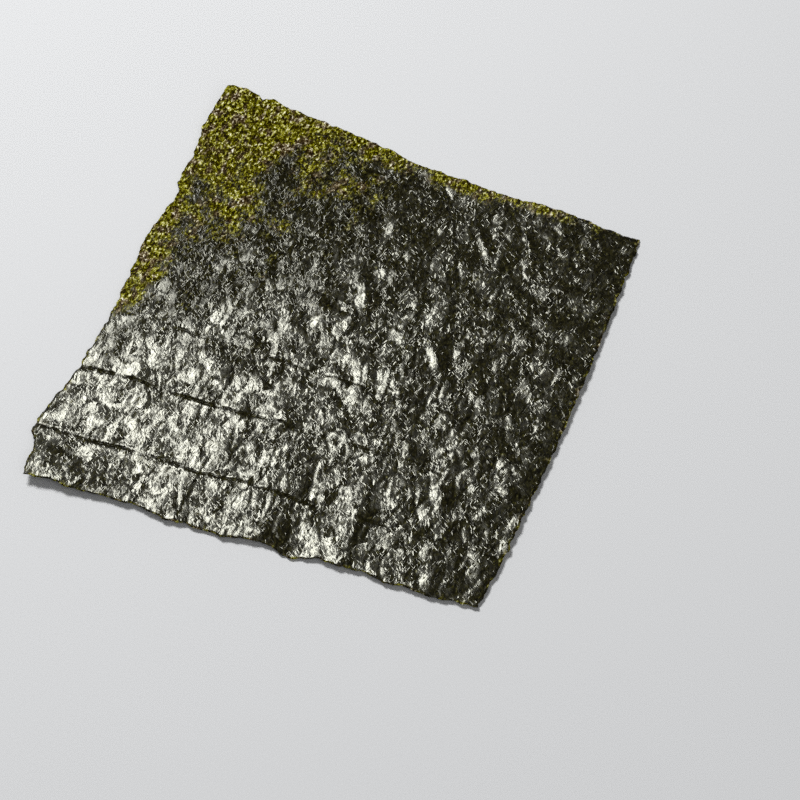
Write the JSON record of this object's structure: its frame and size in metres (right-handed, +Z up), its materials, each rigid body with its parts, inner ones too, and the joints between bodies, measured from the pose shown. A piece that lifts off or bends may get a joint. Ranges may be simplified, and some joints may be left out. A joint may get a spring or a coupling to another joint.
{
  "type": "nori sheet",
  "caption": "Thin wavy sheet of dried roasted seaweed with pressed thread lines, torn edges and curled corners, for wrapping rice and snacks.",
  "frame": {"origin": "under the middle of the sheet's box, on the surface that the sheet lies on", "axes": "+Z up; +Y along the sheet's long side towards its far edge; +X along the thread lines to the right"},
  "size_m": [0.201, 0.217, 0.0069],
  "materials": {
    "roasted_seaweed": "crinkled, low gloss with glints"
  },
  "bodies": {
    "root": {"nori_sheet": "roasted_seaweed"}
  },
  "joints": []
}
